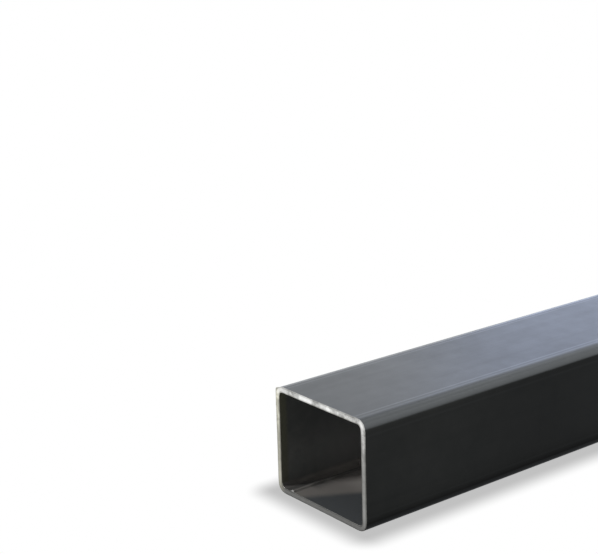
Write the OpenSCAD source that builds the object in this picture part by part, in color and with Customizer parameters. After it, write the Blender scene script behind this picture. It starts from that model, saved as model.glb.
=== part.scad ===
// Rectangular hollow section: a cold-formed, seam-welded steel tube, sawn square at both ends.
// Millimetres. X runs along the tube, Y across it and Z up. The origin is under the middle of the tube.
// The stock size is 3 by 2 1/2 inches with a 1/8 inch wall, cut to 3 feet.

/* [Section] */
// Overall width of the section, measured across the wide face
section_width = 76.2; // [60:0.1:120]
// Overall height of the section as the tube lies
section_height = 63.5; // [50:0.1:100]
// Thickness of the wall
wall = 3.175; // [2:0.025:4.5]
// Outside radius of the four bends
bend_radius = 5.6; // [5:0.1:9]

/* [Length] */
// Length between the sawn ends
tube_length = 914.4; // [304.8:304.8:7315.2]

/* [Weld seam] */
// Distance from the back face to the middle of the seam in the floor of the tube
seam_from_back = 12.5; // [9:0.5:30]
// Width of the weld flash left standing inside
flash_width = 3; // [2:0.1:5]
// Height of the weld flash above the inside of the wall
flash_height = 1.1; // [0.4:0.1:1.5]

/* [Hidden] */

$fn = 96;
steel_black = [0.16, 0.165, 0.175];

// The bends keep the wall's thickness, so the two radii share one centre.
inner_radius = bend_radius - wall;
inner_width = section_width - 2 * wall;
inner_height = section_height - 2 * wall;

// Radius of the circle through the flash's two toes and its crest
flash_radius = (pow(flash_width / 2, 2) + pow(flash_height, 2)) / (2 * flash_height);
seam_y = section_width / 2 - seam_from_back;

// A rectangle with four round corners, centred on the origin
module rounded_rectangle(width, height, radius) {
    square([width - 2 * radius, height], center = true);
    square([width, height - 2 * radius], center = true);
    for (side = [-1, 1], end = [-1, 1])
        translate([side * (width / 2 - radius), end * (height / 2 - radius)])
            circle(r = radius);
}

// The low ridge that the seam weld leaves on the inside. It is a round bar sunk in the wall down to
// the wall's middle, and the block that trims it there stands clear of it on the other sides.
module weld_flash() {
    intersection() {
        translate([seam_y, wall + flash_height - flash_radius])
            circle(r = flash_radius);
        translate([seam_y - flash_width, wall / 2])
            square([2 * flash_width, wall + flash_height]);
    }
}

// The section as it shows on a sawn end, standing on its floor
module section() {
    translate([0, section_height / 2])
        difference() {
            rounded_rectangle(section_width, section_height, bend_radius);
            rounded_rectangle(inner_width, inner_height, inner_radius);
        }
    weld_flash();
}

// One length of stock. The section's own x and y become the row's Y and Z.
module tube() {
    color(steel_black)
        translate([-tube_length / 2, 0, 0])
            rotate([90, 0, 90])
                linear_extrude(height = tube_length)
                    section();
}

tube();
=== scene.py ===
import bpy
import math
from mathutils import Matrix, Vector, noise


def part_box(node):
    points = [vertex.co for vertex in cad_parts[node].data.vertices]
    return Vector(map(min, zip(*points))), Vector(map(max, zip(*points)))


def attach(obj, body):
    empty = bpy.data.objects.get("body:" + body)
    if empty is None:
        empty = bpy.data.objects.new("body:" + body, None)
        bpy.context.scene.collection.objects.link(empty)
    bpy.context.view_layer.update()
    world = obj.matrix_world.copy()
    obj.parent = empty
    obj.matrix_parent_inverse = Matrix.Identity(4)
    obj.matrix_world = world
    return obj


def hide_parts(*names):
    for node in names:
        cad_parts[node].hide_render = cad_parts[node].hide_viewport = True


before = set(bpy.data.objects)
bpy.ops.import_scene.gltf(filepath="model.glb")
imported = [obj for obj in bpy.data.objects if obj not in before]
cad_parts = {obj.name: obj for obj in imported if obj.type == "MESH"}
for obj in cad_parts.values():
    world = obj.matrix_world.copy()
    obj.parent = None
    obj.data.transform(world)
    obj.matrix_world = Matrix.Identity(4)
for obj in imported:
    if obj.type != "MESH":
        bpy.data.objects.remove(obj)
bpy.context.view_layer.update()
print("frame loaded:", sorted(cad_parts))


class Wire:
    # A socket of a node tree. Arithmetic on it adds Math nodes, and node() adds any other kind.

    def __init__(self, tree, socket=None):
        self.tree = tree
        self.socket = socket

    def node(self, kind, settings=None, inputs=None, output=0):
        made = self.tree.nodes.new(kind)
        for name, value in (settings or {}).items():
            setattr(made, name, value)
        for name, value in (inputs or {}).items():
            if isinstance(value, Wire):
                self.tree.links.new(value.socket, made.inputs[name])
            else:
                made.inputs[name].default_value = value
        return Wire(self.tree, made.outputs[output] if made.outputs else None)

    def maths(self, operation, first, second):
        return self.node("ShaderNodeMath", {"operation": operation}, {0: first, 1: second})

    def __add__(self, other):
        return self.maths("ADD", self, other)

    def __radd__(self, other):
        return self.maths("ADD", other, self)

    def __sub__(self, other):
        return self.maths("SUBTRACT", self, other)

    def __rsub__(self, other):
        return self.maths("SUBTRACT", other, self)

    def __mul__(self, other):
        return self.maths("MULTIPLY", self, other)

    def __rmul__(self, other):
        return self.maths("MULTIPLY", other, self)

    def __abs__(self):
        return self.maths("ABSOLUTE", self, 0.0)

    def power(self, exponent):
        return self.maths("POWER", self, exponent)

    def larger(self, other):
        return self.maths("MAXIMUM", self, other)

    def smaller(self, other):
        return self.maths("MINIMUM", self, other)

    def rise(self, low, high):
        # 0 below low and 1 above high, or the other way round where low is the larger
        return self.node(
            "ShaderNodeMapRange",
            {"interpolation_type": "SMOOTHSTEP"},
            {"Value": self, "From Min": low, "From Max": high},
        )

    def mix(self, colourA, colourB):
        # this wire is the factor
        return self.node(
            "ShaderNodeMix", {"data_type": "RGBA"}, {0: self, 6: colourA, 7: colourB}, output=2
        )

    def times(self, factors):
        # of a colour or of a place
        return self.node("ShaderNodeVectorMath", {"operation": "MULTIPLY"}, {0: self, 1: factors})

    def noise(self, scale, detail, roughness=0.55):
        # this wire is the place
        return self.node(
            "ShaderNodeTexNoise",
            None,
            {"Vector": self, "Scale": scale, "Detail": detail, "Roughness": roughness},
        )

    def bump(self, strength, depth):
        # this wire is the height, and depth is what a height of 1 stands for in metres
        inputs = {"Height": self, "Strength": strength, "Distance": depth}
        return self.node("ShaderNodeBump", None, inputs)


def grey(level):
    return (level, level, level, 1.0)


def newMaterial(name):
    material = bpy.data.materials.new(name)
    material.use_nodes = True
    tree = material.node_tree
    tree.nodes.clear()
    start = Wire(tree)
    place = start.node("ShaderNodeTexCoord", output="Object")
    return material, start, place


def axesOf(place):
    return [place.node("ShaderNodeSeparateXYZ", None, {"Vector": place}, output=axis) for axis in "XYZ"]


def finishMaterial(start, inputs, constants):
    surface = start.node("ShaderNodeBsdfPrincipled", None, {**constants, **inputs})
    start.node("ShaderNodeOutputMaterial", None, {"Surface": surface})


# The section, as in the part's source

section = {
    "wall": 0.003175,
    "bendRadius": 0.0056,  # of the plain round that each bend stands for
    "bendReach": 0.0082,  # how far from the corner a flat starts to turn
    "bendEase": 0.45,  # share of the bend over which it tightens, and then slackens again
    "bendSteps": 18,
    "bendSubsteps": 40,
    "flatStep": 0.0013,  # width of a face on the flats
    "seamFromBack": 0.0125,
    "flashWidth": 0.003,
    "flashHeight": 0.0011,
    "seamStep": 0.0003,  # finer faces across the seam
    "seamReach": 0.0033,
}

tubeLow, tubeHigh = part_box("tube")
tubeLength = tubeHigh.x - tubeLow.x
tubeWidth = tubeHigh.y - tubeLow.y
tubeHeight = tubeHigh.z - tubeLow.z
seamY = tubeHigh.y - section["seamFromBack"]


def spread(low, high, step):
    count = max(1, round(abs(high - low) / step))
    return [low + (high - low) * k / count for k in range(count)]


def bell(offset, width):
    return math.exp(-(offset / width) ** 2)


def floorPlaces(half):
    # across the bottom from front to back, finer at the seam
    reach = section["seamReach"]
    step = section["flatStep"]
    return (
        spread(-half, seamY - reach, step)
        + spread(seamY - reach, seamY + reach, section["seamStep"])
        + spread(seamY + reach, half, step)
    )


def quarterTurn():
    # A bend that tightens gradually. Each step says how far it is along the old flat, how far over to
    # the next one, and how far round.
    share = section["bendEase"]
    tightest = math.pi / 2 / (1 - share)
    substeps = section["bendSubsteps"]
    count = substeps * section["bendSteps"]
    turn = along = over = 0.0
    steps = []
    for k in range(count):
        if k % substeps == 0:
            steps.append((along, over, turn))
        place = (k + 0.5) / count
        turn += tightest * min(1.0, place / share, (1 - place) / share) / count
        along += math.cos(turn) / count
        over += math.sin(turn) / count
    size = section["bendReach"] / along
    return [(size * along, size * over, turn) for along, over, turn in steps]


def sectionPoints():
    # Points round the outside, each with its outward normal and how far along its own flat it lies,
    # from 0 to 1. On a bend that last number is 0.
    reach = section["bendReach"]
    halfY = tubeWidth / 2 - reach
    lowZ, highZ = reach, tubeHeight - reach
    bend = quarterTurn()
    points = []

    def flat(places, fixed, normal, low, high):
        for place in places:
            along = (place - low) / (high - low)
            y, z = (place, fixed) if normal[0] == 0 else (fixed, place)
            points.append(((y, z), normal, along))

    def bendAt(y, z, startAngle):
        start = math.radians(startAngle)
        ahead = (-math.sin(start), math.cos(start))
        inward = (-math.cos(start), -math.sin(start))
        for along, over, turn in bend:
            place = (y + along * ahead[0] + over * inward[0], z + along * ahead[1] + over * inward[1])
            points.append((place, (math.cos(start + turn), math.sin(start + turn)), 0.0))

    step = section["flatStep"]
    flat(floorPlaces(halfY), 0.0, (0, -1), -halfY, halfY)
    bendAt(halfY, 0.0, -90)
    flat(spread(lowZ, highZ, step), tubeWidth / 2, (1, 0), lowZ, highZ)
    bendAt(tubeWidth / 2, highZ, 0)
    flat(spread(halfY, -halfY, step), tubeHeight, (0, 1), halfY, -halfY)
    bendAt(-halfY, tubeHeight, 90)
    flat(spread(highZ, lowZ, step), -tubeWidth / 2, (-1, 0), highZ, lowZ)
    bendAt(-tubeWidth / 2, lowZ, 180)
    return points


# Small departures from the ideal section. Noise is read at a point, and where one of the point's three
# numbers is a plain one, it only picks a pattern.

wear = {
    "hollowing": 0.00009,  # how far each flat sinks at its middle
    "ripple": 0.00003,
    "rippleLength": 0.14,
    "rippleAcross": 18,  # how fine the ripple is across the tube, as turns in a metre
    "flashRipple": 0.16,  # share of the flash's height
    "flashSwell": 3,  # how fast the flash's bulge fades through the wall, from the inside out
    "coarseBeads": (120, 300),  # turns in a metre, along the flash and across it
    "fineBeads": (400, 650),
    "fineShare": 0.6,
    "flashStray": 0.0001,  # how far the flash strays to either side
    "flashStrays": 28,  # turns in a metre
    "scarf": 0.00005,  # depth of the planed strip over the seam
    "scarfHalf": 0.0028,
    "scarfFade": 0.0006,
    "scarfStray": 0.0003,
    "scarfStrays": 38,
}


def sinkAt(x, point, along):
    window = 4 * along * (1 - along)
    across = wear["rippleAcross"]
    wave = noise.noise(Vector((x / wear["rippleLength"], point[0] * across, point[1] * across)))
    return max(0.0, window * (wear["hollowing"] + wear["ripple"] * wave))


def flashAt(x, y):
    half = section["flashWidth"] / 2
    high = section["flashHeight"]
    radius = (half * half + high * high) / (2 * high)
    off = y - seamY - wear["flashStray"] * noise.noise(Vector((x * wear["flashStrays"], 3.1, 0.4)))
    if abs(off) >= half:
        return 0.0
    arch = math.sqrt(radius * radius - off * off) - (radius - high)
    coarse, coarseAcross = wear["coarseBeads"]
    fine, fineAcross = wear["fineBeads"]
    uneven = noise.noise(Vector((x * coarse, off * coarseAcross, 7.3)))
    uneven += wear["fineShare"] * noise.noise(Vector((x * fine, off * fineAcross, 1.9)))
    return max(0.0, arch * (1 + wear["flashRipple"] * uneven))


def scarfAt(x, y):
    stray = wear["scarfStray"] * noise.noise(Vector((x * wear["scarfStrays"], 9.2, 2.2)))
    off = abs(y - seamY) + stray
    return wear["scarf"] * min(1.0, max(0.0, (wear["scarfHalf"] - off) / wear["scarfFade"]))


# The sawn ends: a flat face a little inside the end's plane, broken edges, and burrs standing out from it

sawn = {
    "inset": 0.00016,
    "outerEdge": 0.00022,  # radius of the broken outer edge
    "innerEdge": 0.00016,
    "edgeSteps": 4,
    "faceSteps": 9,
    "outerBurr": 0.00010,
    "innerBurr": 0.00015,
    "burrWidth": 0.00022,
    "burrSize": 0.0055,  # length of a burr round the section
    "burrBase": 0.35,  # the higher, the fewer gaps between the burrs
    "fineBurrs": (0.5, 3.1),  # how much smaller burrs add, and how much smaller they are
    "cornerBurr": 0.0010,  # how far the near end's burr sticks out at the back top corner
    "cornerTurn": (35, 18),  # degrees round from the back side, and how wide
    "cornerDeep": 0.0006,  # how far into the wall
    "firstRing": 0.00045,  # the faces lengthwise are narrow by the cut and then grow
    "ringGrowth": 1.5,
    "rings": 12,
    "ringStep": 0.0118,
}


def rimPath():
    # how far inside the end's plane, and how deep into the wall
    wall = section["wall"]
    inset, outer, inner = sawn["inset"], sawn["outerEdge"], sawn["innerEdge"]
    path = []
    for k in range(sawn["edgeSteps"]):
        angle = math.pi / 2 * k / sawn["edgeSteps"]
        path.append((inset + outer * (1 - math.sin(angle)), outer * (1 - math.cos(angle))))
    for depth in spread(outer, wall - inner, (wall - inner - outer) / sawn["faceSteps"]):
        path.append((inset, depth))
    for k in range(sawn["edgeSteps"] + 1):
        angle = math.pi / 2 * k / sawn["edgeSteps"]
        path.append((inset + inner * (1 - math.cos(angle)), wall - inner * (1 - math.sin(angle))))
    return path


def burrAt(end, point, depth):
    wall = section["wall"]
    size = sawn["burrSize"]
    fineShare, finer = sawn["fineBurrs"]
    amounts = []
    for edge in (0.0, 5.7):  # the outer and the inner edge
        spot = Vector((point[0] / size, point[1] / size, 4.0 + 7 * (end > 0) + edge))
        amount = sawn["burrBase"] + noise.noise(spot) + fineShare * noise.noise(spot * finer)
        amounts.append(min(1.0, max(0.0, amount)))
    outer = sawn["outerBurr"] * amounts[0] * bell(depth - sawn["outerEdge"], sawn["burrWidth"])
    inner = sawn["innerBurr"] * amounts[1] * bell(depth - wall + sawn["innerEdge"], sawn["burrWidth"])
    return outer + inner


def cornerBurrAt(normal, depth):
    middle, width = sawn["cornerTurn"]
    turn = math.degrees(math.atan2(normal[1], normal[0]))
    return sawn["cornerBurr"] * bell(turn - middle, width) * bell(depth, sawn["cornerDeep"])


def ringPlaces():
    half = tubeLength / 2
    insets = [sawn["firstRing"] * sawn["ringGrowth"] ** k for k in range(sawn["rings"])]
    left = [-half + inset for inset in insets]
    right = [half - inset for inset in reversed(insets)]
    return left + spread(left[-1], right[0], sawn["ringStep"])[1:] + right


def skinPath():
    # Every step lengthwise round the wall: to the right outside, over the right rim, back to the left
    # inside, and over the left rim.
    half = tubeLength / 2
    rings = ringPlaces()
    rim = rimPath()
    path = [(x, 0.0, "outside") for x in rings]
    path += [(half - inset, depth, "rim") for inset, depth in rim]
    path += [(x, section["wall"], "inside") for x in reversed(rings)]
    path += [(-half + inset, depth, "rim") for inset, depth in reversed(rim)]
    return path


def placeOnSkin(x, depth, region, point, normal, along):
    wall = section["wall"]
    sink = sinkAt(x, point, along)
    y = point[0] - normal[0] * (depth + sink)
    z = point[1] - normal[1] * (depth + sink)
    if normal == (0, -1):
        z += flashAt(x, point[0]) * (depth / wall) ** wear["flashSwell"]
        z += scarfAt(x, point[0]) * (1 - depth / wall)
    if region == "rim":
        end = 1 if x > 0 else -1
        x += end * burrAt(end, point, depth)
        if end < 0:
            y += normal[0] * cornerBurrAt(normal, depth)
            z += normal[1] * cornerBurrAt(normal, depth)
    return (x, min(y, tubeHigh.y), min(z, tubeHigh.z))


def buildTube(materials):
    points = sectionPoints()
    path = skinPath()
    around = len(points)
    vertices = [placeOnSkin(*step, *point) for step in path for point in points]
    faces = []
    slots = []
    slotOf = {"outside": 0, "rim": 1, "inside": 2}
    for ring, step in enumerate(path):
        following = (ring + 1) % len(path)
        region = step[2] if step[2] == path[following][2] else "rim"
        for k in range(around):
            after = (k + 1) % around
            faces.append((
                ring * around + k,
                ring * around + after,
                following * around + after,
                following * around + k,
            ))
            slots.append(slotOf[region])
    mesh = bpy.data.meshes.new("tube_steel")
    mesh.from_pydata(vertices, [], faces)
    for material in materials:
        mesh.materials.append(material)
    mesh.polygons.foreach_set("material_index", slots)
    mesh.polygons.foreach_set("use_smooth", [True] * len(faces))
    mesh.update()
    piece = bpy.data.objects.new("tube_steel", mesh)
    bpy.context.scene.collection.objects.link(piece)
    return piece


# The dark rolled skin outside. Each noise has its scale, its detail and, in some cases, its roughness.

skin = {
    "dark": (0.0100, 0.0110, 0.0107, 1.0),
    "light": (0.0178, 0.0183, 0.0176, 1.0),
    "clouds": (14, 3),
    "mottle": (90, 6, 0.62),
    "streakStretch": (2.6, 190, 190),
    "streaks": (1.0, 4, 0.6),
    "toneBase": 0.15,
    "toneShares": (0.3, 0.35, 0.25),  # what the clouds, the mottle and the streaks add to it
    "toneRange": (0.25, 0.95),
    "farShade": 0.62,  # painted shade: share of that colour left away from the ends
    "farRange": (0.04, 0.15),
    "burnished": (0.0315, 0.0335, 0.0347, 1.0),  # where the rolls rub the bends
    "rubbedFrom": (0.6, 1.8),  # where that starts beside the wide faces, times rollLineHalf
    "sideGap": 0.0028,  # the rolls rub less of a bend on the narrow sides
    "rollLineAndHighlight": (0.049, 0.052, 0.055, 1.0),  # the brighter line where a bend starts: a roll mark and a painted highlight
    "rollLineHalf": 0.0010,
    "topLineAt": 1.1,  # how far before the bend the line lies, times rollLineHalf
    "sideLineAt": 0.5,
    "sideLineShare": 0.08,
    "lineFade": (0.7, 0.9),  # the line shows only near its own face: shares of the bend's reach
    "lineBase": 0.55,
    "lineStreaks": 0.6,
    "scuffs": (520, 4),
    "scuffWander": 0.0005,
    "scuffRange": (0.0009, 0.0005),
    "scuffShare": 0.4,
    "bareSteel": (0.42, 0.41, 0.39, 1.0),
    "roughness": 0.33,
    "roughShares": (0.10, 0.06, 0.05),  # what the mottle and the streaks add, and the clouds take off
    "bendSmoother": 0.05,  # how much less rough the bends are
    "grain": (1700, 2),
    "scratchStretch": (18, 1150, 1150),
    "scratches": (1.0, 1.5),
    "scratchRange": (0.70, 0.78),
    "grainHeight": 0.5,
    "streakHeight": 0.8,
    "bendFlatter": 0.6,  # how much lower the streaks are on the bends
    "scratchHeight": 0.5,
    "bump": (0.25, 0.000024),
    "edgeTint": (0.95, 0.97, 1.0, 1.0),
}


def bendMasks(y, z):
    # 1 on the four bends, and 1 on the lines where they start
    reach = section["bendReach"]
    half = skin["rollLineHalf"]
    offY = abs(y) - (tubeWidth / 2 - reach)
    offZ = abs(z - tubeHeight / 2) - (tubeHeight / 2 - reach)
    low, high = [share * half for share in skin["rubbedFrom"]]
    onBend = offY.rise(low, high) * offZ.rise(skin["sideGap"], skin["sideGap"] + half)
    low, high = [share * reach for share in skin["lineFade"]]
    onTopLine = abs(offY + skin["topLineAt"] * half).rise(half, 0.0) * offZ.rise(low, high)
    onSideLine = abs(offZ + skin["sideLineAt"] * half).rise(half, 0.0) * offY.rise(low, high)
    return onBend, onTopLine.larger(skin["sideLineShare"] * onSideLine)


def rolledSkin():
    material, start, place = newMaterial("rolled skin")
    x, y, z = axesOf(place)
    clouds = place.noise(*skin["clouds"])
    mottle = place.noise(*skin["mottle"])
    streaks = place.times(skin["streakStretch"]).noise(*skin["streaks"])
    grain = place.noise(*skin["grain"])
    scratches = place.times(skin["scratchStretch"]).noise(*skin["scratches"]).rise(*skin["scratchRange"])
    byClouds, byMottle, byStreaks = skin["toneShares"]
    tone = skin["toneBase"] + byClouds * clouds + byMottle * mottle + byStreaks * streaks
    colour = tone.rise(*skin["toneRange"]).mix(skin["dark"], skin["light"])
    fromEnd = tubeLength / 2 - abs(x)
    # painted shade: the skin darker away from the ends
    shade = fromEnd.rise(*skin["farRange"]).mix(grey(1.0), grey(skin["farShade"]))
    colour = colour.times(shade)
    onBend, onLine = bendMasks(y, z)
    colour = onBend.mix(colour, skin["burnished"])
    # a roll mark and a painted highlight along the line where each bend starts
    colour = ((skin["lineBase"] + skin["lineStreaks"] * streaks) * onLine).mix(colour, skin["rollLineAndHighlight"])
    scuffed = (fromEnd + skin["scuffWander"] * place.noise(*skin["scuffs"])).rise(*skin["scuffRange"])
    colour = (skin["scuffShare"] * scuffed).mix(colour, skin["bareSteel"])
    byMottle, byStreaks, byClouds = skin["roughShares"]
    rough = skin["roughness"] + byMottle * mottle + byStreaks * streaks - byClouds * clouds
    rough = rough - skin["bendSmoother"] * onBend
    height = skin["grainHeight"] * grain + (skin["streakHeight"] - skin["bendFlatter"] * onBend) * streaks
    height = height - skin["scratchHeight"] * scratches
    normal = height.bump(*skin["bump"])
    finishMaterial(
        start,
        {"Base Color": colour, "Roughness": rough, "Normal": normal},
        {"Metallic": 1.0, "Specular Tint": skin["edgeTint"]},
    )
    return material


# The bright sawn ends

cut = {
    "bright": (0.72, 0.72, 0.705, 1.0),
    "dull": (0.33, 0.33, 0.32, 1.0),
    "coarsePatches": (105, 3, 0.5),
    "finePatches": (330, 3, 0.6),
    "patchRange": (0.38, 0.62),
    "low": (0.235, 0.235, 0.225, 1.0),  # painted shade, darker down the sides
    "lowRange": (0.057, 0.034),  # heights
    "lowShare": 0.85,
    "foot": (0.36, 0.36, 0.35, 1.0),  # painted shade along the bottom, less dark than down the sides
    "footRange": (0.022, 0.009),
    "footShare": 0.8,
    "warmAndLit": (1.38, 1.35, 1.17, 1.0),  # a warm tint and painted light on the back side's rim, as a share of the colour there
    "warmRange": (0.031, 0.037),
    # painted highlights on the near end's top rim
    "rimHighlight": (0.95, 0.95, 0.94, 1.0),
    "rimHighlightPlaces": (  # where along the near end's top rim, half its length, and how much
        (0.0117, 0.0060, 0.82),
        (-0.0081, 0.0016, 0.80),
        (0.0320, 0.0050, 0.50),
        (-0.0365, 0.0032, 0.60),
    ),
    "rimHighlightHeights": (0.0575, 0.0600),
    "rimHighlightFade": (1.4, 0.6),  # shares of half a place's length
    "rimHighlightStray": 0.004,
    "rimHighlightNoise": (420, 2),
    "edges": (0.50, 0.50, 0.49, 1.0),  # painted shade by the wall's two edges, as a share of the colour there
    "edgeRange": (0.0001, 0.0010),
    "flashFade": 0.0002,
    "kerfStretch": (1, 1900, 200),
    "kerf": (1.0, 2),
    "grain": (3200, 2),
    "grainHeight": 0.4,
    "bump": (0.5, 0.00004),
    "roughness": 0.38,
    "kerfRoughness": 0.18,
}


def wallDepth(y, z):
    # how far below the tube's outside a place on the sawn face lies
    radius = section["bendRadius"]
    offY = abs(y) - (tubeWidth / 2 - radius)
    offZ = abs(z - tubeHeight / 2) - (tubeHeight / 2 - radius)
    outY = offY.larger(0.0)
    outZ = offZ.larger(0.0)
    return radius - (outY * outY + outZ * outZ).power(0.5) - offY.larger(offZ).smaller(0.0)


# painted highlights: bright spots on the near end's top rim
def paintTopRimHighlights(colour, place, x, y, z):
    nearEnd = x.rise(0.0, -0.1)  # 1 there, and 0 at the far end
    onTop = z.rise(*cut["rimHighlightHeights"]) * nearEnd
    stray = cut["rimHighlightStray"] * (place.noise(*cut["rimHighlightNoise"]) - 0.5)
    outer, inner = cut["rimHighlightFade"]
    for middle, half, much in cut["rimHighlightPlaces"]:
        spot = abs(y - middle + stray).rise(outer * half, inner * half)
        colour = (much * onTop * spot).mix(colour, cut["rimHighlight"])
    return colour


# painted shade: the rim darker by the wall's two edges
def shadeEdges(colour, y, z):
    wall = section["wall"]
    depth = wallDepth(y, z)
    toEdge = wall / 2 - abs(depth - wall / 2)
    onFlash = depth.rise(wall, wall + cut["flashFade"])  # it stands deeper than the wall, and stays bright
    middle = toEdge.rise(*cut["edgeRange"]).larger(onFlash)
    return colour.times(middle.mix(cut["edges"], grey(1.0)))


def sawnSteel():
    material, start, place = newMaterial("sawn steel")
    x, y, z = axesOf(place)
    patches = 0.5 * place.noise(*cut["coarsePatches"]) + 0.5 * place.noise(*cut["finePatches"])
    kerf = place.times(cut["kerfStretch"]).noise(*cut["kerf"])
    grain = place.noise(*cut["grain"])
    colour = patches.rise(*cut["patchRange"]).mix(cut["dull"], cut["bright"])
    # painted shade: the rim darker down the sides
    colour = (cut["lowShare"] * z.rise(*cut["lowRange"])).mix(colour, cut["low"])
    # painted shade: the rim darker along the bottom
    colour = (cut["footShare"] * z.rise(*cut["footRange"])).mix(colour, cut["foot"])
    # the back side's rim warmer, and lighter by painted light
    colour = colour.times(y.rise(*cut["warmRange"]).mix(grey(1.0), cut["warmAndLit"]))
    colour = paintTopRimHighlights(colour, place, x, y, z)
    colour = shadeEdges(colour, y, z)
    rough = cut["roughness"] + cut["kerfRoughness"] * kerf
    normal = (kerf + cut["grainHeight"] * grain).bump(*cut["bump"])
    finishMaterial(
        start,
        {"Base Color": colour, "Roughness": rough, "Normal": normal},
        {"Metallic": 1.0},
    )
    return material


# The dull skin inside. A range whose name ends in Deep is measured in from the cut.

inside = {
    "wallDark": (0.046, 0.050, 0.049, 1.0),
    "wallLight": (0.068, 0.070, 0.066, 1.0),
    "clouds": (38, 4),
    "mottle": (175, 5, 0.6),
    "toneRange": (0.3, 0.7),
    "paintedLightFarIn": (0.175, 0.178, 0.178, 1.0),  # painted light, lighter farther in from the cut
    "paintedLightDeep": (0.004, 0.075),
    "lowShare": (1.9, 1.85, 1.85, 1.0),  # painted light, lighter low on the walls: a share of the colour there
    "lowRange": (0.042, 0.010),  # heights
    "oily": (0.080, 0.080, 0.052, 1.0),  # a strip by the cut
    "oilyDeep": (0.0065, 0.0035),
    "oilyShare": 0.8,
    "floorRange": (0.0062, 0.0040),  # heights
    "floorWarm": (0.205, 0.192, 0.180, 1.0),
    # painted shade in the corner by the front wall
    "floorCool": (0.074, 0.080, 0.085, 1.0),
    "coolFrom": 0.0180,  # how far from the back wall the cooler part starts, at the cut
    "coolSlant": 1.75,
    "coolStray": 0.012,
    "coolRange": (-0.010, 0.006),
    "fartherShare": (2.0, 2.0, 2.0, 1.0),  # painted light, lighter farther in on the floor, as a share of the colour there
    "fartherDeep": (0.022, 0.050),
    "flash": (0.12, 0.115, 0.11, 1.0),
    "flashHalf": (0.0017, 0.0013),
    "flashTop": (0.0072, 0.0060),  # heights
    "flashFoot": (0.0031, 0.0034),
    "flashFront": (0.27, 0.26, 0.245, 1.0),  # its front flank by the cut, painted light over that flank's shade
    "frontRange": (0.0001, 0.0006),
    "frontDeep": (0.034, 0.022),
    "paintedShadow": (0.078, 0.077, 0.074, 1.0),  # painted shadow on the floor by the cut, behind the flash and along it
    "paintedShadowStray": 0.002,
    "paintedShadowBehind": (0.0092, 0.0068),  # distances from the back wall
    "paintedShadowOffWall": (0.0015, 0.0045),
    "paintedShadowDeep": (0.026, 0.012),
    "wallShadowShare": 0.6,  # how much of it reaches the wall, right by the cut
    "wallShadowDeep": (0.016, 0.008),
    "duskShare": 0.85,  # how much of that painted shadow lies along the flash
    "duskFront": (0.0195, 0.0085),  # distances from the back wall
    "duskBack": (0.0070, 0.0085),
    "duskDeep": ((0.0105, 0.0160), (0.027, 0.020)),  # where it starts, and where it ends
    "roughness": 0.6,
    "mottleRoughness": 0.2,
    "gloss": 0.25,
    "bump": (0.3, 0.00008),
}


def wallColour(clouds, mottle, z, fromEnd):
    tone = (0.5 * clouds + 0.5 * mottle).rise(*inside["toneRange"])
    colour = tone.mix(inside["wallDark"], inside["wallLight"])
    # painted light: the walls lighter farther in from the cut
    colour = fromEnd.rise(*inside["paintedLightDeep"]).mix(colour, inside["paintedLightFarIn"])
    # painted light: the walls lighter low down
    colour = colour.times(z.rise(*inside["lowRange"]).mix(grey(1.0), inside["lowShare"]))
    return (inside["oilyShare"] * fromEnd.rise(*inside["oilyDeep"])).mix(colour, inside["oily"])


def floorColour(clouds, fromEnd, fromBack):
    # painted shade: cooler and darker in the corner by the front wall, and lighter behind it
    across = fromEnd - inside["coolSlant"] * (fromBack - inside["coolFrom"])
    lighter = (across + inside["coolStray"] * (clouds - 0.5)).rise(*inside["coolRange"])
    return lighter.mix(inside["floorCool"], inside["floorWarm"])


def innerSkin():
    material, start, place = newMaterial("inner skin")
    x, y, z = axesOf(place)
    clouds = place.noise(*inside["clouds"])
    mottle = place.noise(*inside["mottle"])
    fromEnd = tubeLength / 2 - abs(x)
    fromBack = tubeWidth / 2 - section["wall"] - y
    onFloor = z.rise(*inside["floorRange"])
    # painted light: floor and flash lighter farther in
    farther = fromEnd.rise(*inside["fartherDeep"]).mix(grey(1.0), inside["fartherShare"])

    colour = wallColour(clouds, mottle, z, fromEnd)
    colour = onFloor.mix(colour, floorColour(clouds, fromEnd, fromBack).times(farther))

    # painted shadow on the floor behind the flash, by the cut
    behindFlash = (fromBack + inside["paintedShadowStray"] * (clouds - 0.5)).rise(*inside["paintedShadowBehind"])
    onWall = inside["wallShadowShare"] * fromEnd.rise(*inside["wallShadowDeep"])
    offWall = fromBack.rise(*inside["paintedShadowOffWall"]).larger(onWall)
    shadowMask = onFloor * behindFlash * offWall * fromEnd.rise(*inside["paintedShadowDeep"])
    colour = shadowMask.mix(colour, inside["paintedShadow"])

    # painted light on the flash's shaded front flank by the cut
    litFlank = (seamY - y).rise(*inside["frontRange"]) * fromEnd.rise(*inside["frontDeep"])
    flash = litFlank.mix(inside["flash"], inside["flashFront"]).times(farther)
    onFlash = abs(y - seamY).rise(*inside["flashHalf"]) * z.rise(*inside["flashTop"])
    colour = (onFlash * z.rise(*inside["flashFoot"])).mix(colour, flash)

    # painted shadow along the flash, a little way in from the cut
    ahead = fromBack.rise(*inside["duskFront"]) * fromBack.rise(*inside["duskBack"])
    starts, ends = inside["duskDeep"]
    dusk = onFloor * ahead * fromEnd.rise(*starts) * fromEnd.rise(*ends)
    colour = (inside["duskShare"] * dusk).mix(colour, inside["paintedShadow"])

    rough = inside["roughness"] + inside["mottleRoughness"] * mottle
    normal = mottle.bump(*inside["bump"])
    finishMaterial(
        start,
        {"Base Color": colour, "Roughness": rough, "Normal": normal},
        {"Metallic": 0.0, "Specular IOR Level": inside["gloss"]},
    )
    return material


steel = buildTube([rolledSkin(), sawnSteel(), innerSkin()])
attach(steel, "root")
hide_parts("tube")
print("tube built:", len(steel.data.polygons), "faces")


# Camera, at the photograph's place

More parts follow.
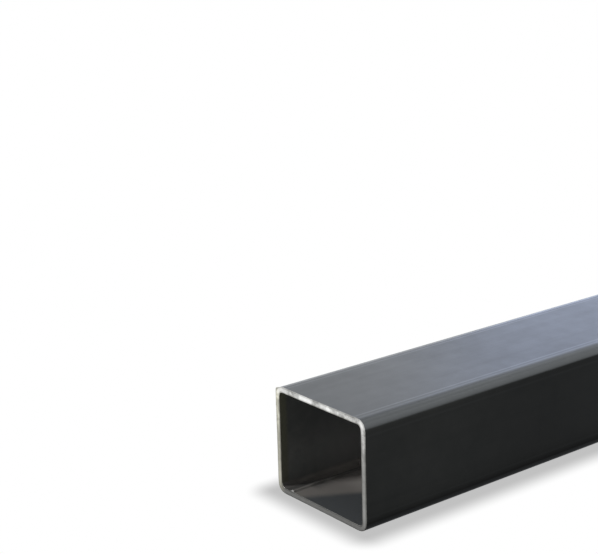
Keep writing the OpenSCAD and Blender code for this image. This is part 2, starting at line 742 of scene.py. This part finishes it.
view = {
    "fromEnd": 0.4602,  # beyond the near end, along the tube
    "toSide": 0.5845,  # out from the middle of the tube
    "height": 0.3417,
    "turn": (74.351, 1.607, -38.032),  # degrees
    "lens": 89.17,
    "sensor": 36.0,
}


def placeCamera():
    data = bpy.data.cameras.new("camera")
    data.lens = view["lens"]
    data.sensor_width = view["sensor"]
    camera = bpy.data.objects.new("camera", data)
    camera.location = (tubeLow.x - view["fromEnd"], -view["toSide"], view["height"])
    camera.rotation_euler = [math.radians(angle) for angle in view["turn"]]
    bpy.context.scene.collection.objects.link(camera)
    bpy.context.scene.camera = camera


# White studio

studio = {
    "floorSize": 60.0,
    "floorDrop": 0.0002,
    "shadowFrom": 0.0012,  # how far from the tube its shadow starts to fade
    "shadowTo": 0.0198,
    "shadowDark": 0.53,  # how light the floor is where the shadow is darkest
    "shadowMirrored": 0.22,  # the same, as the tube's own skin mirrors it
    "matte": 0.8,  # what the floor gives back of the light that falls on it
    "fill": 0.25,  # the world's light on the object, where 1 is white
    "aimedAt": 0.1,  # how far in from the near end the lamps point
}


def seenDirectly(start):
    # 1 for what the camera, a reflection or glass sees, and 0 for light that falls on something
    seen = start.node("ShaderNodeLightPath", output="Is Camera Ray")
    mirrored = start.node("ShaderNodeLightPath", output="Is Glossy Ray")
    through = start.node("ShaderNodeLightPath", output="Is Transmission Ray")
    return seen.larger(mirrored).larger(through)


def layFloor():
    half = studio["floorSize"] / 2
    low = -studio["floorDrop"]
    mesh = bpy.data.meshes.new("floor")
    corners = [(-half, -half, low), (half, -half, low), (half, half, low), (-half, half, low)]
    mesh.from_pydata(corners, [], [(0, 1, 2, 3)])
    floor = bpy.data.objects.new("floor", mesh)
    bpy.context.scene.collection.objects.link(floor)
    material, start, place = newMaterial("white floor")
    x, y = axesOf(place)[:2]
    outX = (abs(x) - tubeLength / 2).larger(0.0)
    outY = (abs(y) - tubeWidth / 2).larger(0.0)
    away = (outX * outX + outY * outY).power(0.5)
    mirrored = start.node("ShaderNodeLightPath", output="Is Glossy Ray")
    darkest = mirrored.mix(grey(studio["shadowDark"]), grey(studio["shadowMirrored"]))
    shade = away.rise(studio["shadowFrom"], studio["shadowTo"]).mix(darkest, grey(1.0))
    glow = start.node("ShaderNodeEmission", None, {"Color": shade, "Strength": 1.0})
    matte = start.node("ShaderNodeBsdfDiffuse", None, {"Color": grey(studio["matte"])})
    lit = start.node("ShaderNodeMixShader", None, {0: seenDirectly(start), 1: matte, 2: glow})
    below = start.node("ShaderNodeNewGeometry", output="Backfacing")
    clear = start.node("ShaderNodeBsdfTransparent")
    surface = start.node("ShaderNodeMixShader", None, {0: below, 1: lit, 2: clear})
    start.node("ShaderNodeOutputMaterial", None, {"Surface": surface})
    mesh.materials.append(material)


def lightWorld():
    world = bpy.data.worlds.new("studio")
    world.use_nodes = True
    tree = world.node_tree
    tree.nodes.clear()
    start = Wire(tree)
    strength = studio["fill"] + (1 - studio["fill"]) * seenDirectly(start)
    background = start.node("ShaderNodeBackground", None, {"Color": grey(1.0), "Strength": strength})
    start.node("ShaderNodeOutputWorld", None, {"Surface": background})
    bpy.context.scene.world = world


# Each lamp has the way to it from where all are aimed, how far off it is, its width and height, and how
# bright its face is. The sky card also has a colour, and only reflections show it.
lamps = {
    "back wash": {"way": (0.57, 0.76, 0.30), "away": 2.4, "size": (2.4, 1.2), "bright": 1.0},
    "overhead strip": {"way": (0.57, 0.42, 0.70), "away": 2.4, "size": (2.2, 1.45), "bright": 1.0},
    "front strip": {"way": (0.57, -0.20, 0.80), "away": 2.4, "size": (2.2, 1.62), "bright": 2.4},
    "front low strip": {"way": (0.57, -0.75, 0.36), "away": 2.4, "size": (2.2, 1.76), "bright": 2.6},
    "left lamp": {"way": (-0.80, 0.40, 0.50), "away": 2.4, "size": (0.5, 0.5), "bright": 37.0},
    "sky card": {
        "way": (0.940, 0.326, 0.285),
        "away": 1.3,
        "size": (1.30, 0.58),
        "bright": 1.45,
        "colour": (0.375, 0.54, 1.0),
        "mirroredOnly": True,
    },
}


def hangLamp(name, facts):
    width, height = facts["size"]
    data = bpy.data.lights.new(name, "AREA")
    data.shape = "RECTANGLE"
    data.size = width
    data.size_y = height
    data.energy = facts["bright"] * math.pi * width * height
    lamp = bpy.data.objects.new(name, data)
    way = Vector(facts["way"]).normalized()
    target = Vector((tubeLow.x + studio["aimedAt"], 0.0, tubeHeight / 2))
    lamp.location = target + way * facts["away"]
    lamp.rotation_euler = way.to_track_quat("Z", "Y").to_euler()
    data.color = facts.get("colour", grey(1.0)[:3])
    lamp.visible_camera = False
    lamp.visible_diffuse = not facts.get("mirroredOnly", False)
    bpy.context.scene.collection.objects.link(lamp)


placeCamera()
layFloor()
lightWorld()
for lampName, lampFacts in lamps.items():
    hangLamp(lampName, lampFacts)
bpy.context.scene.view_settings.view_transform = "Standard"
print("studio ready")
